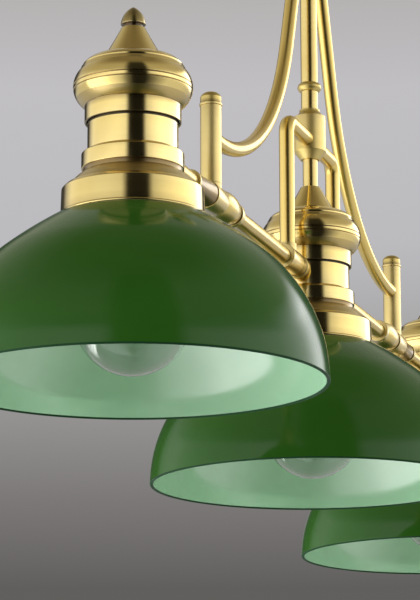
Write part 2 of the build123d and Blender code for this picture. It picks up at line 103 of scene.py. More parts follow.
def arc_points(a, m, b):
    """Points on the arc from a through m to b, without a."""
    ax, ay, bx, by = m.x - a.x, m.y - a.y, b.x - a.x, b.y - a.y
    d = 2 * (ax * by - ay * bx)
    ux = (by * (ax * ax + ay * ay) - ay * (bx * bx + by * by)) / d
    uy = (ax * (bx * bx + by * by) - bx * (ax * ax + ay * ay)) / d
    centre, radius = a + Vector((ux, uy)), hypot(ux, uy)
    angles = [atan2(p.y - centre.y, p.x - centre.x) for p in (a, m, b)]
    sweep = (angles[2] - angles[0]) % (2 * pi)
    if (angles[1] - angles[0]) % (2 * pi) > sweep:
        sweep -= 2 * pi
    steps = max(MIN_STEPS, int(abs(sweep) * radius / ARC_STEP))
    places = [angles[0] + sweep * i / steps for i in range(1, steps + 1)]
    return [centre + radius * Vector((cos(t), sin(t))) for t in places]


def sagitta(a, b, bulge):
    """Middle and end of an arc from a to b that bulges to the left of the way there."""
    a, b = Vector(a), Vector(b)
    way = (b - a).normalized()
    middle = (a + b) / 2 + Vector((-way.y, way.x)) * bulge
    return (tuple(middle), tuple(b))


def grooved(points, centre, radius):
    """Cuts a round groove into an outline, square to it at the centre."""
    centre = Vector(centre)
    out = []
    for a, b in zip(points, points[1:]):
        out.append(a)
        along = (b - a).normalized()
        near = (centre - a).dot(along)
        if -radius < near < (b - a).length + radius and abs((centre - a).cross(along)) < radius:
            out += [a.lerp(b, i / GROOVE_STEPS) for i in range(1, GROOVE_STEPS)]
    out.append(points[-1])
    inward = Vector((-1, 0))
    cut = []
    for p in out:
        d = (p - centre).length
        cut.append(p + inward * (radius ** 2 - d ** 2) ** 0.5 if d < radius else p)
    return cut


def soften(points, cut=0.35):
    """Rounds the sharp corners of a closed outline, off the axis."""
    out, n = [], len(points)
    for i, p in enumerate(points):
        before, after = points[i - 1], points[(i + 1) % n]
        a, b = p - before, after - p
        if p.x < ON_AXIS or min(a.length, b.length) < TINY or abs(a.angle(b)) < CORNER:
            out.append(p)
            continue
        d = min(cut, a.length * 0.4, b.length * 0.4)
        p0, p2 = p - a.normalized() * d, p + b.normalized() * d
        for t in (0, 0.25, 0.5, 0.75, 1):
            out.append((1 - t) ** 2 * p0 + 2 * t * (1 - t) * p + t ** 2 * p2)
    return out


def bends(points):
    """How sharply a closed outline turns at each point: above 0 on an outside edge, below 0 in a corner,
    at most 1 either way."""
    n = len(points)
    turns = []
    for i, p in enumerate(points):
        a, b = p - points[i - 1], points[(i + 1) % n] - p
        turns.append(0 if min(a.length, b.length) < TINY else atan2(a.cross(b), a.dot(b)))
    area = sum(p.cross(points[(i + 1) % n]) for i, p in enumerate(points))
    sign = 1 if area > 0 else -1
    around = []
    for p in points:
        near = [(turns[j], (points[j] - p).length) for j in range(n)]
        around.append(sign * sum(t * (1 - d / EDGE_REACH) for t, d in near if d < EDGE_REACH))
    return [max(-1.0, min(1.0, a / FULL_EDGE)) for a in around]


# ------------------------------------------------------------------ meshes
SHARP = radians(35)  # faces that meet at more than this keep a hard edge between them


def mesh_object(name, vertices, faces, uvs, mats, mat_index, edge):
    """A smooth mesh with its UV map, edge sharpness and material numbers."""
    mesh = bpy.data.meshes.new(name)
    mesh.from_pydata([tuple(v) for v in vertices], [], faces)
    layer = mesh.uv_layers.new(name="turned")
    layer.data.foreach_set("uv", np.array([c for face in uvs for uv in face for c in uv], np.float32))
    sharpness = mesh.attributes.new("edge", "FLOAT", "POINT")
    sharpness.data.foreach_set("value", np.array(edge, np.float32))
    for m in mats:
        mesh.materials.append(m)
    mesh.polygons.foreach_set("material_index", np.array(mat_index, np.int32))
    mesh.polygons.foreach_set("use_smooth", np.ones(len(faces), bool))
    mesh.validate()
    obj = bpy.data.objects.new(name, mesh)
    bpy.context.scene.collection.objects.link(obj)
    return obj


def lathe_data(outline, origin, axis="Z", way=1, segments=128, pick=None, ripple=None):
    """Vertices, faces, uvs, material numbers and edge sharpness of a closed outline turned round an axis.
    pick gives an outline step's material number from its middle and its own number, and ripple adds to the
    radius at a point and a turn."""
    ox, oy, oz = origin
    verts, rows, edge, sharp = [], [], [], bends(outline)
    for k, p in enumerate(outline):
        ring = []
        for j in range(1 if p.x < ON_AXIS else segments):
            t = 2 * pi * j / segments
            r = (p.x + (ripple(p, t) if ripple else 0)) * MM
            h = p.y * MM * way
            if axis == "Z":
                verts.append((ox + r * cos(t), oy + r * sin(t), oz + h))
            else:
                verts.append((ox + h, oy + r * cos(t), oz + r * sin(t)))
            edge.append(sharp[k])
            ring.append(len(verts) - 1)
        rows.append(ring)
    run = [0.0]
    for a, b in zip(outline, outline[1:] + outline[:1]):
        run.append(run[-1] + (b - a).length * MM)
    faces, uvs, mats = [], [], []
    n = len(outline)
    for k in range(n):
        a, b = rows[k], rows[(k + 1) % n]
        if len(a) == 1 and len(b) == 1:
            continue
        middle = (outline[k] + outline[(k + 1) % n]) / 2
        number = pick(middle, k) if pick else 0
        for j in range(segments):
            j2 = (j + 1) % segments
            u1, u2 = j / segments, (j + 1) / segments
            if len(a) == 1:
                face, uv = [a[0], b[j2], b[j]], [(u1, run[k]), (u2, run[k + 1]), (u1, run[k + 1])]
            elif len(b) == 1:
                face, uv = [a[j], a[j2], b[0]], [(u1, run[k]), (u2, run[k]), (u1, run[k + 1])]
            else:
                face = [a[j], a[j2], b[j2], b[j]]
                uv = [(u1, run[k]), (u2, run[k]), (u2, run[k + 1]), (u1, run[k + 1])]
            faces.append(face)
            uvs.append(uv)
            mats.append(number)
    return verts, faces, uvs, mats, edge


def joined(parts):
    """Several sets of mesh data as one."""
    verts, faces, uvs, mats, edge = [], [], [], [], []
    for v, f, u, m, e in parts:
        base = len(verts)
        verts += v
        faces += [[i + base for i in face] for face in f]
        uvs += u
        mats += m
        edge += e
    return verts, faces, uvs, mats, edge


def outward(obj):
    """Makes every shell's faces point out of its own solid, and keeps its corners sharp."""
    bm = bmesh.new()
    bm.from_mesh(obj.data)
    bmesh.ops.recalc_face_normals(bm, faces=bm.faces)
    bm.to_mesh(obj.data)
    bm.free()
    obj.data.set_sharp_from_angle(angle=SHARP)


def place(name, data, mats, body, *nodes, slot="brass"):
    """Makes a piece from mesh data. It rides on the body and stands in for these CAD nodes."""
    verts, faces, uvs, numbers, edge = data
    obj = mesh_object(name, verts, faces, uvs, mats, numbers, edge)
    outward(obj)
    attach(obj, body)
    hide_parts(*nodes)


def sweep_data(path, radius, segments=48):
    """A round bar along points in the plane y = 0, closed at both ends."""
    verts, faces, uvs, edge = [], [], [], []
    run = 0.0
    for i, p in enumerate(path):
        before, after = path[max(0, i - 1)], path[min(len(path) - 1, i + 1)]
        way = (after - before).normalized()
        across = Vector((way.z, 0, -way.x))
        if i:
            run += (p - path[i - 1]).length
        for j in range(segments):
            t = 2 * pi * j / segments
            verts.append(p + radius * (cos(t) * across + sin(t) * Vector((0, 1, 0))))
            edge.append(0.0)
        if i:
            last = run - (p - path[i - 1]).length
            for j in range(segments):
                j2 = (j + 1) % segments
                a, b = (i - 1) * segments, i * segments
                faces.append([a + j, a + j2, b + j2, b + j])
                uvs.append([(j / segments, last), ((j + 1) / segments, last),
                            ((j + 1) / segments, run), (j / segments, run)])
    for base, v in ((0, 0.0), ((len(path) - 1) * segments, run)):
        faces.append([base + j for j in range(segments)])
        uvs.append([(j / segments, v) for j in range(segments)])
    return verts, faces, uvs, [0] * len(faces), edge


# ------------------------------------------------------------------ materials
def new_material(name):
    """A new material, its node tree and its shader."""
    material = bpy.data.materials.new(name)
    material.use_nodes = True
    tree = material.node_tree
    shader = tree.nodes["Principled BSDF"]
    return material, tree, shader


def node(tree, kind, **sets):
    """A new node, with these inputs or settings."""
    made = tree.nodes.new(kind)
    for key, value in sets.items():
        if key in made.inputs:
            made.inputs[key].default_value = value
        else:
            setattr(made, key, value)
    return made


def noise(tree, source, scale, stretch=(1, 1, 1), detail=2.0):
    """Noise of this scale over coordinates from a socket, stretched first."""
    mapping = node(tree, "ShaderNodeMapping")
    mapping.inputs["Scale"].default_value = stretch
    tree.links.new(source, mapping.inputs["Vector"])
    made = node(tree, "ShaderNodeTexNoise", Scale=scale, Detail=detail)
    tree.links.new(mapping.outputs["Vector"], made.inputs["Vector"])
    return made.outputs["Fac"]


def ramp(tree, source, *stops):
    """Colour ramp with these (place, colour) stops, the first and last of them its ends."""
    made = tree.nodes.new("ShaderNodeValToRGB")
    elements = made.color_ramp.elements
    elements[0].position, elements[1].position = stops[0][0], stops[-1][0]
    elements[0].color, elements[1].color = (*stops[0][1], 1), (*stops[-1][1], 1)
    for where, colour in stops[1:-1]:
        elements.new(where).color = (*colour, 1)
    tree.links.new(source, made.inputs["Fac"])
    return made.outputs["Color"]


def blend_colour(tree, factor, a, b, mode="MIX"):
    """Mixes two colours. Each argument is a constant or a socket."""
    mix = node(tree, "ShaderNodeMix", data_type="RGBA", blend_type=mode)
    for value, socket in ((factor, mix.inputs[0]), (a, mix.inputs[6]), (b, mix.inputs[7])):
        if isinstance(value, (tuple, float, int)):
            socket.default_value = (*value, 1) if isinstance(value, tuple) else value
        else:
            tree.links.new(value, socket)
    return mix.outputs[2]


def span(tree, source, low, high, start=0.0, end=1.0):
    """The source's range start to end as low to high."""
    made = node(tree, "ShaderNodeMapRange")
    for name, value in (("From Min", start), ("From Max", end), ("To Min", low), ("To Max", high)):
        made.inputs[name].default_value = value
    tree.links.new(source, made.inputs["Value"])
    return made.outputs["Result"]


def bump(tree, shader, height, distance):
    """Bumps the shader's surface by the height socket, to this depth in metres."""
    made = node(tree, "ShaderNodeBump", Distance=distance, Strength=1.0)
    tree.links.new(height, made.inputs["Height"])
    tree.links.new(made.outputs["Normal"], shader.inputs["Normal"])


ACROSS = 0.25  # a quarter turn, so that highlights spread across the fine lines
LINES = {  # stretches of the noise for the fine lines and for the wider bands
    "turned": ((5, 3800, 1), (1, 300, 1)),
    "drawn": ((120, 30, 1), (9, 12, 1)),
    "X": ((3800, 60, 60), (300, 8, 8)),
    "Z": ((60, 60, 3800), (8, 8, 300)),
}
BRASS_LIGHT, BRASS_DEEP = (0.82, 0.64, 0.24), (0.74, 0.55, 0.17)
# Colours of the painted shade in corners and of the painted highlight on outside edges.
CORNER_PAINTED_SHADE, EDGE_PAINTED_HIGHLIGHT = (0.14, 0.075, 0.02), (0.88, 0.71, 0.36)


def brass(name, light=BRASS_LIGHT, deep=BRASS_DEEP, rough=0.17, grain="turned", around=ACROSS):
    """Satin brass under clear lacquer, with fine lines round a turned piece or along a tube. Corners
    get painted shade in brown, and outside edges a paler painted highlight."""
    material, tree, shader = new_material(name)
    where = node(tree, "ShaderNodeTexCoord").outputs["Object"]
    unrolled = grain in ("turned", "drawn")
    along = node(tree, "ShaderNodeUVMap", uv_map="turned").outputs["UV"] if unrolled else where
    fine, bands = [noise(tree, along, 1.0, stretch, 2) for stretch in LINES[grain]]
    clouds = noise(tree, where, 22.0, detail=4)
    tone = blend_colour(tree, span(tree, clouds, 0.0, 0.8, 0.35, 0.7), light, deep)
    tone = blend_colour(tree, span(tree, bands, 0.0, 0.3, 0.3, 0.7), tone, deep)
    edge = node(tree, "ShaderNodeAttribute", attribute_name="edge").outputs["Fac"]
    # Painted shade browns the corners, and a painted highlight pales the outside edges.
    tone = blend_colour(tree, span(tree, edge, 0.8, 0.0, -0.8, -0.1), tone, CORNER_PAINTED_SHADE)
    tone = blend_colour(tree, span(tree, edge, 0.0, 0.3, 0.1, 0.9), tone, EDGE_PAINTED_HIGHLIGHT)
    tree.links.new(tone, shader.inputs["Base Color"])
    roughness = node(tree, "ShaderNodeMath", operation="ADD")
    tree.links.new(span(tree, bands, rough - 0.02, rough + 0.02, 0.3, 0.7), roughness.inputs[0])
    tree.links.new(span(tree, fine, -0.02, 0.02, 0.3, 0.7), roughness.inputs[1])
    tree.links.new(roughness.outputs[0], shader.inputs["Roughness"])
    shader.inputs["Metallic"].default_value = 1
    shader.inputs["Anisotropic"].default_value = 0.7
    shader.inputs["Coat Weight"].default_value = 0.6
    shader.inputs["Coat Roughness"].default_value = 0.10
    shader.inputs["Anisotropic Rotation"].default_value = around
    if unrolled:
        tangent = node(tree, "ShaderNodeTangent", direction_type="UV_MAP", uv_map="turned")
    else:
        tangent = node(tree, "ShaderNodeTangent", direction_type="RADIAL", axis=grain)
    tree.links.new(tangent.outputs["Tangent"], shader.inputs["Tangent"])
    bump(tree, shader, fine, 0.000004)
    return material


def plain(name, colour, colour2, rough, metallic, scale, depth, coat=0.0):
    """A material with fine grain: two close tones, uneven gloss and a small bump."""
    material, tree, shader = new_material(name)
    where = node(tree, "ShaderNodeTexCoord").outputs["Object"]
    grain = noise(tree, where, scale * 18, detail=3)
    clouds = noise(tree, where, scale, detail=4)
    tree.links.new(blend_colour(tree, span(tree, clouds, 0, 1, 0.35, 0.65), colour, colour2),
                   shader.inputs["Base Color"])
    tree.links.new(span(tree, grain, rough - 0.06, rough + 0.06, 0.3, 0.7), shader.inputs["Roughness"])
    shader.inputs["Metallic"].default_value = metallic
    shader.inputs["Coat Weight"].default_value = coat
    bump(tree, shader, grain, depth)
    return material


def cased_glass(name, colour, colour2, rough, ior):
    """One face of the blown, cased glass, with faint streaks of a second tone and a slow ripple."""
    material, tree, shader = new_material(name)
    where = node(tree, "ShaderNodeTexCoord").outputs["Object"]
    streaks = noise(tree, where, 5.0, (1, 1, 2.6), 5)
    tree.links.new(blend_colour(tree, span(tree, streaks, 0, 1, 0.35, 0.68), colour, colour2),
                   shader.inputs["Base Color"])
    tree.links.new(span(tree, noise(tree, where, 30.0, detail=4), rough * 0.7, rough * 1.3, 0.3, 0.7),
                   shader.inputs["Roughness"])
    shader.inputs["IOR"].default_value = ior
    bump(tree, shader, noise(tree, where, 9.0, detail=1), 0.00004)
    return material


def clear_glass(name):
    """Thin bulb glass with a faint smoke."""
    material, tree, shader = new_material(name)
    where = node(tree, "ShaderNodeTexCoord").outputs["Object"]
    haze = noise(tree, where, 40.0, detail=3)
    tree.links.new(span(tree, haze, 0.03, 0.06, 0.3, 0.7), shader.inputs["Roughness"])
    tint = blend_colour(tree, haze, (0.75, 0.77, 0.75), (0.79, 0.81, 0.79))
    tree.links.new(tint, shader.inputs["Base Color"])
    shader.inputs["Transmission Weight"].default_value = 1
    shader.inputs["IOR"].default_value = 1.45
    bump(tree, shader, noise(tree, where, 12.0, detail=1), 0.00002)
    return material


BRASS = brass("satin_brass_turned")
BRASS_X = brass("satin_brass_bar", (0.74, 0.56, 0.18), (0.66, 0.48, 0.13), 0.36, "X")
BRASS_Z = brass("satin_brass_upright", rough=0.30, grain="Z")
DRAWN = brass("satin_brass_drawn", (0.88, 0.66, 0.21), (0.80, 0.58, 0.15), 0.34, "drawn")
FRAME = brass("satin_brass_frame", (0.70, 0.54, 0.17), (0.62, 0.46, 0.12), 0.36, around=0.0)
# Rougher, darker brass for undersides: the roughness is the real finish, the darker colour is painted
# shade.
DULL_SHADED_BRASS = brass("dull_brass_undersides_painted_shade", (0.60, 0.46, 0.18), (0.54, 0.39, 0.13), 0.36)
# Nearly black brass: painted shade on lips, on the acorn's underside and on the neck under the cap's
# sleeve.
SHADE_PAINTED_BRASS = brass("brass_painted_shade", (0.10, 0.07, 0.03), (0.06, 0.042, 0.018), 0.45)
# Darker brass all over the acorn finials.
DARK_ACORN_BRASS = brass("darkened_brass", (0.36, 0.28, 0.10), (0.28, 0.21, 0.065), 0.38)
GREEN = cased_glass("green_glass_outside", (0.028, 0.121, 0.011), (0.034, 0.141, 0.015), 0.12, 1.33)
MINT = cased_glass("mint_glass_inside", (0.50, 0.84, 0.57), (0.56, 0.88, 0.63), 0.11, 2.2)
# Dark green for the glass's ground rim, and as painted shadow on the glass by the collar.
RIM_AND_SHADOW = cased_glass("dark_green_glass_rim_and_painted_shadow", (0.006, 0.050, 0.014), (0.010, 0.065, 0.020), 0.50, 1.25)
BULB = clear_glass("bulb_glass_clear")
NICKEL = plain("nickel_plate", (0.62, 0.60, 0.56), (0.55, 0.53, 0.49), 0.28, 1.0, 80, 0.00002)
STEEL = plain("zinc_plated_steel", (0.56, 0.58, 0.60), (0.47, 0.49, 0.51), 0.38, 1.0, 60, 0.00003)
PHENOLIC = plain("phenolic", (0.012, 0.010, 0.009), (0.020, 0.016, 0.013), 0.35, 0.0, 50, 0.00006, 0.3)
RUBBER = plain("rubber", (0.02, 0.02, 0.02), (0.03, 0.03, 0.028), 0.7, 0.0, 90, 0.0001)
WIRE = plain("wire_cover", (0.03, 0.03, 0.03), (0.05, 0.045, 0.04), 0.5, 0.0, 90, 0.00005)
SHELL = plain("brass_shell", (0.72, 0.55, 0.25), (0.62, 0.46, 0.20), 0.33, 1.0, 80, 0.00003)

# ------------------------------------------------------------------ heads
rim_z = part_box("shade_left")[0].z
bar_z = sum(v.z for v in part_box("outer_bar_left")) / 2
lamps = {n: sum(v.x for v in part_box(f"shade_{n}")) / 2 for n in ("left", "centre", "right")}

ACORN = soften(turned(
    (4.85, 281.5), (7.4, 281.5), (7.4, 284.2), (9.8, 284.2), (9.8, 285.2),
    sagitta((9.8, 285.2), (0.4, 298.7), -2), (0, 298.7), (0, 289.5), (4.85, 289.5)), 0.3)
SKIRT = soften(turned(
    (21.8, 257), (21.8, 259), sagitta((21.8, 259), (9.3, 281.5), 0.2), (4.85, 281.5), (4.85, 280.1),
    (8.3, 280.1), sagitta((8.3, 280.1), (20.4, 257), -0.2)), 0.35)
CAP = turned(
    (37.4, 204.5), (37.4, 217.7), ((46.4, 232.5), (41.4, 245.9)), (40.2, 248.8), (39, 248.8), (39, 250.8),
    ((33.5, 255.2), (26, 257)), (4.85, 257), (4.85, 255.6), (26, 255.6), ((32.7, 253.9), (37.6, 250.2)),
    (37.6, 247.8), (40, 245.2), ((45, 232.5), (36, 218.3)), (36, 204.5))
GROOVES, BULGE_R, GROOVE_R = (234, 230.5), 46.5, 0.6
for groove_h in GROOVES:
    CAP = grooved(CAP, (BULGE_R, groove_h), GROOVE_R)
CAP = soften(CAP, 0.35)
NECK = soften(turned(
    (35.1, 181.8), (35.1, 202.8), (35.1, 214), (4.85, 214), (4.85, 211), (32.1, 211), (32.1, 181.8)), 0.4)
HOLDER = soften(turned(
    (4.85, 147.5), (20, 147.5), (20, 132.8), (31, 132.8), (31, 153.5), (49.5, 153.5),
    sagitta((49.5, 153.5), (38.6, 164), -0.7), (38.6, 167.4), (39.7, 167.4), (39.7, 179.3), (36.1, 181.8),
    (29, 181.8), (29, 151.5), (4.85, 151.5)), 0.5)
COLLAR = soften(turned(
    (54.2, 131), (54.2, 130.4), ((54.4, 129.6), (55.1, 129.35)), ((55.85, 130.2), (55.4, 131.6)),
    (54.8, 150.7), (52, 153.5), (31.05, 153.5), (31.05, 152.1), (51.4, 152.1), (53.4, 150.1)), 0.4)
GLASS_FOOT = 1.5  # the ground rim is below this height
outside = turned((150, 0), [128, 52], [375, 7], [14, 31], (21, 128.8), (21, 125.8))
inside = turned((147, 0), [125, 52], [372, 7], [11, 31])
SHADE = turned((148.65, 0), ((149.6, 0.4), (149.99, 1.35)))
SHADE += [p for p in outside if p.y > GLASS_FOOT] + [p for p in inside if p.y > GLASS_FOOT][::-1]
SHADE += turned((146.99, 1.35), ((147.4, 0.4), (148.35, 0)))
bulb_outside = turned((0, 6.5), [45, 142], [37.8, -50], (12.3, 116), (12.3, 124), (11.4, 124), heading=0)
bulb_inside = turned((0, 7.4), [44.1, 142], [38.7, -50], (11.4, 116), heading=0)
BULB_WALL = bulb_outside + bulb_inside[::-1]
BULB_CAP = soften(turned(
    (12.35, 116), (13.1, 116), *[(13.1, 117 + 0.5 * i) for i in range(38)], (13.1, 136), (9, 140.5),
    (4.5, 140.5), (4.5, 142.6), (0, 142.6), (0, 138), (8, 138), (12.35, 134.5)), 0.3)
SOCKET = soften(turned(
    (14.25, 110), (18.5, 110), (19.5, 111), (19.5, 147.5), (4.85, 147.5), (4.85, 143), (14.25, 143)), 0.4)
RING = soften(turned(
    (19.55, 116.8), (22.9, 116.8), (22.9, 121.8), (30, 121.8), (30, 125.8), (19.55, 125.8)), 0.4)

# Heights and a radius where a piece's material changes. All but the glass rim's mark where painted shade or
# painted shadow begins.
ACORN_LIP, CAP_LIP, FLARE_TOP, COLLAR_LIP, NECK_SHADE = 284.6, 204.9, 167.2, 129.9, 202.8
BULGE_UNDERSIDE = (217.9, 224)
RIM_TOP, COLLAR_SHADOW_R = 1.4, 58.2
THREAD_PITCH, THREAD_DEPTH, THREAD_R, THREAD_SPAN = 3.6, 0.9, 13.0, (117.5, 135.5)
RIB_PAIRS, RIB_DEPTH, NOSE_R, NOSE_SPAN = 12, 0.35, (22, 23), (117.4, 121.2)


def thread(p, t):
    """Rolled screw thread on the bulb's cap."""
    if not (THREAD_R < p.x and THREAD_SPAN[0] < p.y < THREAD_SPAN[1]):
        return 0
    return -THREAD_DEPTH / 2 * (1 - cos(2 * pi * (p.y / THREAD_PITCH - t / (2 * pi))))


def ribs(p, t):
    """Grip ribs round the shade ring's nose."""
    on_nose = NOSE_R[0] < p.x < NOSE_R[1] and NOSE_SPAN[0] < p.y < NOSE_SPAN[1]
    return -RIB_DEPTH * (1 - abs(cos(RIB_PAIRS * t))) if on_nose else 0


def under(height):
    """Picks the second material below this height: a darker brass that paints the shade of an underside."""
    return lambda p, k: int(p.y < height)


def over(height):
    """Picks the second material above this height."""
    return lambda p, k: int(p.y > height)


def cap_face(p, k):
    """The cap's lower lip gets painted shade, and the underside of its bulge is rougher and darker, the
    darkness painted shade.
    """
    if p.y < CAP_LIP:
        return 1
    return 2 if BULGE_UNDERSIDE[0] < p.y < BULGE_UNDERSIDE[1] else 0


def glass_face(p, k):
    """Green outside, mint inside, and dark green on the ground rim, with the same dark green as painted
    shadow outside by the collar.
    """
    on_outside = k < len(SHADE) // 2
    if p.y < RIM_TOP or (on_outside and p.x < COLLAR_SHADOW_R):
        return 2
    return 0 if on_outside else 1


for name, x in lamps.items():
    at = (x, 0, rim_z)
    if name != "centre":
        # The acorn's underside gets painted shade.
        acorn = lathe_data(ACORN, at, segments=72, pick=under(ACORN_LIP))
        place(f"acorn_{name}", acorn, [DARK_ACORN_BRASS, SHADE_PAINTED_BRASS], "lamp", f"finial_{name}")
    skirt = lathe_data(SKIRT, at, segments=96)
    place(f"turned_skirt_{name}", skirt, [BRASS], "lamp", f"skirt_{name}")
    cap = lathe_data(CAP, at, segments=160, pick=cap_face)
    place(f"spun_cap_{name}", cap, [BRASS, SHADE_PAINTED_BRASS, DULL_SHADED_BRASS], "lamp", f"cap_{name}")
    # Above NECK_SHADE the neck gets painted shadow from the cap's sleeve.
    neck = lathe_data(NECK, at, pick=over(NECK_SHADE))
    place(f"turned_neck_{name}", neck, [BRASS, SHADE_PAINTED_BRASS], "lamp", f"neck_{name}")
    # Below FLARE_TOP the holder's flare is rougher, with a darker colour as painted shade.
    holder = lathe_data(HOLDER, at, pick=under(FLARE_TOP))
    place(f"turned_holder_{name}", holder, [BRASS, DULL_SHADED_BRASS], "lamp", f"holder_{name}")
    # The collar's lower lip gets painted shade.
    collar = lathe_data(COLLAR, at, segments=160, pick=under(COLLAR_LIP))
    place(f"spun_collar_{name}", collar, [BRASS, SHADE_PAINTED_BRASS], "lamp", f"collar_{name}")
    shade = lathe_data(SHADE, at, segments=192, pick=glass_face)
    place(f"cased_shade_{name}", shade, [GREEN, MINT, RIM_AND_SHADOW], "lamp", f"shade_{name}", slot="green_glass")
    globe = lathe_data(BULB_WALL, at, segments=96)
    place(f"globe_{name}", globe, [BULB], f"bulb_{name}", f"bulb_glass_{name}", slot="bulb_glass")
    screw = lathe_data(BULB_CAP, at, segments=96, ripple=thread)
    place(f"screw_cap_{name}", screw, [NICKEL], f"bulb_{name}", f"bulb_cap_{name}", slot="nickel")

sockets = [lathe_data(SOCKET, (x, 0, rim_z), segments=96) for x in lamps.values()]
place("lamp_sockets", joined(sockets), [PHENOLIC], "lamp", "sockets", slot="phenolic")
rings = [lathe_data(RING, (x, 0, rim_z), segments=144, ripple=ribs) for x in lamps.values()]
place("ribbed_shade_rings", joined(rings), [PHENOLIC], "lamp", "shade_rings", slot="phenolic")

# ------------------------------------------------------------------ frame
COUPLING = soften(turned(
    (0, 58), (9.8, 58), (9.8, 54), (8.7, 54), (11.0, 14), (11.8, 14), (11.8, -14), (10.6, -14),
    ((13.2, -31), (9.4, -56)), (10.8, -56), (10.8, -63), (0, -63)), 0.4)
LEG = soften(turned(
    (0, 94), (11, 94), (11, 63), (9.6, 62), (9.6, 50), (11, 49), (11, 42), (7.8, 41), (7.8, 33),
    (0, 33)), 0.4)
FOOT = soften(turned((0, 0), (9.0, 0), (9.0, 12), (0, 12)), 0.3)
LEG_FOOT = soften(turned((0, 0), (8.4, 0), (8.4, 14), (0, 14)), 0.3)
POST = soften(turned((0, 12), (9, 12), (9, 79.5), (0, 79.5)), 0.25)
POST_CAP = soften(turned(
    (0, 79.5), (9.7, 79.5), (9.7, 81.4), (9, 81.4), (9, 87), ((6.48, 90.2), (0.4, 91.5)), (0, 91.5)), 0.3)
LOWER_HUB = soften(turned(
    (7.05, 113), (9, 113), (15, 121), (15, 155), sagitta((15, 155), (9.6, 162), 1.6), (8.05, 162),
    (8.05, 146), (5, 146), (5, 121), (7.05, 121)), 0.4)
STEM_RING = soften(turned((8.05, 179.5), ((11.2, 184), (8.05, 188.5))), 0.2)
UPPER_HUB = soften(turned(
    (8.05, 360), (33, 360), (33, 370), sagitta((33, 370), (13, 383), 3), (13, 387), (8.05, 387)), 0.5)
sides = {"left": -1, "right": 1}
post_x = abs(sum(v.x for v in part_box("post_left")) / 2)
LEG_X = 0.079
ARM_R, YOKE_R = 6.5, 7

# The sweep arm leaves its post level, curves up to a steep straight run, and turns upright at the hub.
ARM_START, ARM_BEND_R, ARM_SLOPE, TOP_BEND_R = (11, 53), 236, 69, 60
ARM_TOP = (285, 367.5)
slope = radians(ARM_SLOPE)
turn_x = ARM_TOP[0] - TOP_BEND_R * (1 - sin(slope))
bend_x = ARM_START[0] + ARM_BEND_R * sin(slope)
turn_h = ARM_START[1] + ARM_BEND_R * (1 - cos(slope)) + (turn_x - bend_x) * tan(slope)
ARM = turned((7.5, 53), ARM_START, [ARM_BEND_R, ARM_SLOPE], (turn_x, turn_h), [TOP_BEND_R, 90 - ARM_SLOPE],
             ARM_TOP)
YOKE = turned((12.6, 131), (66, 131), [13, -90], (79, 14))


def path_of(side, start_x, points):
    """Outline points as a path in the frame: the first number runs along the bar, the second up."""
    return [Vector((start_x + side * p.x * MM, 0, bar_z + p.y * MM)) for p in points]


for name, side in sides.items():
    at = (side * post_x, 0, bar_z)
    coupling = joined([lathe_data(COUPLING, at, "X", side), lathe_data(FOOT, at)])
    place(f"turned_coupling_{name}", coupling, [FRAME], "lamp", f"post_coupling_{name}")
    foot = lathe_data(LEG_FOOT, (side * LEG_X, 0, bar_z))
    leg = joined([lathe_data(LEG, (0, 0, bar_z), "X", side), foot])
    place(f"turned_leg_coupling_{name}", leg, [FRAME], "lamp", f"leg_coupling_{name}")
    place(f"upright_{name}", lathe_data(POST, at), [FRAME], "lamp", f"post_{name}")
    arm = sweep_data(path_of(-side, side * post_x, ARM), ARM_R * MM)
    place(f"curved_arm_{name}", arm, [DRAWN], "lamp", f"sweep_arm_{name}")
    yoke = sweep_data(path_of(side, 0, YOKE), YOKE_R * MM)
    place(f"bent_yoke_{name}", yoke, [DRAWN], "lamp", f"yoke_{name}")
post_caps = [lathe_data(POST_CAP, (s * post_x, 0, bar_z), segments=72) for s in sides.values()]
place("upright_caps", joined(post_caps), [FRAME], "lamp", "post_caps")
place("turned_lower_hub", lathe_data(LOWER_HUB, (0, 0, bar_z)), [FRAME], "lamp", "lower_hub")
place("turned_stem_ring", lathe_data(STEM_RING, (0, 0, bar_z)), [FRAME], "lamp", "stem_ring")
place("turned_upper_hub", lathe_data(UPPER_HUB, (0, 0, bar_z)), [FRAME], "lamp", "upper_hub")

CANOPY = soften(turned(
    (65, 0), (65, -4), ((47, -17.5), (16, -26)), (4.85, -26), (4.85, -24.6), (16, -24.6),
    ((46.2, -16.4), (63.6, -4)), (63.6, 0)), 0.5)
canopy = lathe_data(CANOPY, (0, 0, 0), segments=160)
place("spun_canopy", canopy, [BRASS], "ceiling_mount", "ceiling_canopy")

# ------------------------------------------------------------------ CAD nodes that stay
KEPT_NODES = (
    (BRASS_X, ("outer_bar_left", "outer_bar_right", "mid_bar_left", "mid_bar_right")),
    (BRASS_Z, ("lower_stem", "stem", "swivel_tongue", "swivel_fork", "canopy_nut")),
    (STEEL, ("swivel_pin", "mounting_strap", "canopy_tube", "lock_nut", "lamp_nipples")),
    (RUBBER, ("shade_gaskets",)),
    (SHELL, ("screw_shells",)),
    (WIRE, ("lead_wires",)),
)
for material, names in KEPT_NODES:
    for name in names:
        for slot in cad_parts[name].material_slots:
            slot.material = material

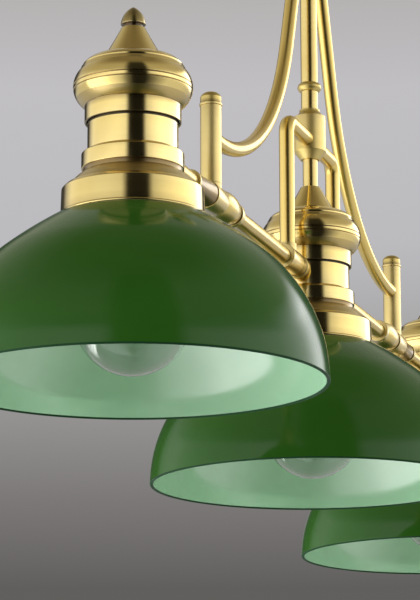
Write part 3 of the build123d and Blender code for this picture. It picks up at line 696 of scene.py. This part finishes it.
# ------------------------------------------------------------------ stage
FLOOR_Z, FLOOR_R, FLOOR_SIDES = -2.1, 17, 64
FADE_FROM, FADE_TO = 5.0, 16.0  # the floor fades out over this distance, so it has no horizon
floor_material, tree, shader = new_material("pale_floor")
shader.inputs["Roughness"].default_value = 0.85
shader.inputs["Emission Color"].default_value = (1, 1, 1, 1)
shader.inputs["Emission Strength"].default_value = 0.12
where = node(tree, "ShaderNodeTexCoord").outputs["Object"]
pale = blend_colour(tree, noise(tree, where, 0.7, detail=3), (0.80, 0.79, 0.77), (0.76, 0.75, 0.74))
tree.links.new(pale, shader.inputs["Base Color"])
reach = node(tree, "ShaderNodeVectorMath", operation="LENGTH")
tree.links.new(where, reach.inputs[0])
clear = node(tree, "ShaderNodeBsdfTransparent")
fade = node(tree, "ShaderNodeMixShader")
# From below, the floor is clear.
see_through = node(tree, "ShaderNodeMath", operation="MAXIMUM")
tree.links.new(span(tree, reach.outputs["Value"], 0.0, 1.0, FADE_FROM, FADE_TO), see_through.inputs[0])
tree.links.new(node(tree, "ShaderNodeNewGeometry").outputs["Backfacing"], see_through.inputs[1])
tree.links.new(see_through.outputs[0], fade.inputs[0])
tree.links.new(shader.outputs[0], fade.inputs[1])
tree.links.new(clear.outputs[0], fade.inputs[2])
tree.links.new(fade.outputs[0], tree.nodes["Material Output"].inputs["Surface"])
mesh = bpy.data.meshes.new("floor")
corners = [2 * pi * i / FLOOR_SIDES for i in range(FLOOR_SIDES)]
mesh.from_pydata([(FLOOR_R * cos(t), FLOOR_R * sin(t), FLOOR_Z) for t in corners], [],
                 [list(range(FLOOR_SIDES))])
mesh.materials.append(floor_material)
floor = bpy.data.objects.new("floor", mesh)
bpy.context.scene.collection.objects.link(floor)
floor.visible_glossy = False

# A low soft fill from behind on the left. It reaches up into the shades, and isn't seen in the brass.
FILL_AT, FILL_AIM = Vector((-0.12, 2.1, -1.85)), Vector((-0.45, 0, -0.75))
fill = bpy.data.lights.new("low_fill", "AREA")
fill.shape = "RECTANGLE"
fill.size, fill.size_y = 2.4, 0.8
fill.spread = radians(50)  # narrow enough to stay off the floor
fill.energy = 5.6
fill_light = bpy.data.objects.new("low_fill", fill)
fill_light.location = FILL_AT
fill_light.rotation_euler = (FILL_AIM - FILL_AT).to_track_quat("-Z", "Y").to_euler()
fill_light.visible_camera = False
fill_light.visible_glossy = False
bpy.context.scene.collection.objects.link(fill_light)

# The studio is one soft surround: two long walls of light with a dark gap between them, a dim ceiling, and
# a plain grey backdrop for the camera.
world = bpy.data.worlds.new("studio")
bpy.context.scene.world = world
world.use_nodes = True
tree = world.node_tree
direction = node(tree, "ShaderNodeTexCoord").outputs["Generated"]
GAP_X, GAP_Y = -0.944, -0.329  # the way to the dark gap, where turns round the lamp count from 0
turns = []
for axis in ((-GAP_Y, GAP_X, 0), (GAP_X, GAP_Y, 0)):
    dot = node(tree, "ShaderNodeVectorMath", operation="DOT_PRODUCT")
    dot.inputs[1].default_value = axis
    tree.links.new(direction, dot.inputs[0])
    turns.append(dot.outputs["Value"])
azimuth = node(tree, "ShaderNodeMath", operation="ARCTAN2")
tree.links.new(turns[0], azimuth.inputs[0])
tree.links.new(turns[1], azimuth.inputs[1])
height = node(tree, "ShaderNodeSeparateXYZ")
tree.links.new(direction, height.inputs[0])
height = height.outputs["Z"]
PEAK = 8.0  # brightness of a ramp's white
# Stops are (degrees from the gap, brightness).
WALLS = (
    (-180, 0.35), (-170, 0.05), (-147, 0.05), (-134, 0.60), (-118, 1.15), (-96, 1.12), (-70, 1.15),
    (-40, 1.35), (-18, 1.25), (-9, 0.010), (25, 0.010), (34, 1.00), (52, 1.40), (76, 1.75), (100, 1.90),
    (120, 2.30), (134, 3.60), (143, 2.90), (151, 0.15), (158, 0.05), (171, 0.05), (180, 0.35))
LOW_WALLS = (
    (-180, 0.35), (-150, 0.6), (-101, 0.8), (-97, 2.4), (-62, 2.3), (-45, 1.4), (-25, 0.8), (-12, 0.2),
    (0, 0.015), (26, 0.015), (40, 0.2), (70, 0.8), (110, 0.8), (140, 0.6), (180, 0.35))
HIGH_WALLS = (
    (-180, 0.35), (-170, 0.05), (-147, 0.06), (-134, 0.60), (-90, 0.70), (-40, 0.35), (-18, 0.35),
    (-9, 0.02), (25, 0.02), (34, 0.40), (95, 0.75), (118, 2.20), (134, 4.50), (143, 3.60), (151, 0.15),
    (171, 0.05), (180, 0.35))
# Heights are sines of the angle above level. Each pair is where one layer fades into the next.
LOW_TO_MIDDLE, MIDDLE_TO_HIGH = (0.03, 0.11), (0.37, 0.43)
HIGH_TO_CEILING, GAP_END = (0.44, 0.55), (0.84, 0.95)
WHITE, IN_GAP, GAP_OVERHEAD = (1, 1, 1), (0.05, 0.05, 0.05), (0.9, 0.9, 0.9)
turn = span(tree, azimuth.outputs[0], 0.0, 1.0, -pi, pi)


def surround(stops):
    """The light all round at one height."""
    colour = ramp(tree, turn, *[((a + 180) / 360, (v / PEAK,) * 3) for a, v in stops])
    return blend_colour(tree, 1.0, colour, (PEAK, PEAK, PEAK), "MULTIPLY")


def risen(pair):
    """0 below this pair of heights, 1 above it."""
    return span(tree, height, 0.0, 1.0, *pair)


walls = blend_colour(tree, risen(LOW_TO_MIDDLE), surround(LOW_WALLS), surround(WALLS))
walls = blend_colour(tree, risen(MIDDLE_TO_HIGH), walls, surround(HIGH_WALLS))
# The gap runs on up across the ceiling as a dark wedge, nearly to the top.
gap = ramp(tree, turn, (0.0, WHITE), (0.44, WHITE), (0.475, IN_GAP), (0.57, IN_GAP), (0.595, WHITE),
           (1.0, WHITE))
gap = blend_colour(tree, risen(GAP_END), gap, GAP_OVERHEAD)
overhead = ramp(tree, height, (0.0, (0.58, 0.54, 0.45)), (0.75, (0.50, 0.47, 0.39)),
                (0.94, (0.235, 0.20, 0.135)))
ceiling = blend_colour(tree, 1.0, gap, overhead, "MULTIPLY")
lit = blend_colour(tree, risen(HIGH_TO_CEILING), walls, ceiling)
backdrop = ramp(tree, span(tree, height, 0.0, 1.0, 0.0, 0.5),
                (0.0, (0.13, 0.125, 0.12)), (0.25, (0.12, 0.115, 0.11)), (0.31, (0.20, 0.19, 0.185)),
                (0.39, (0.34, 0.335, 0.33)), (0.48, (0.50, 0.495, 0.515)), (0.58, (0.53, 0.52, 0.54)),
                (0.66, (0.44, 0.42, 0.41)))
path = node(tree, "ShaderNodeLightPath")
seen = blend_colour(tree, path.outputs["Is Camera Ray"], lit, backdrop)
tree.links.new(seen, tree.nodes["Background"].inputs["Color"])
bpy.context.scene.view_settings.view_transform = "Standard"
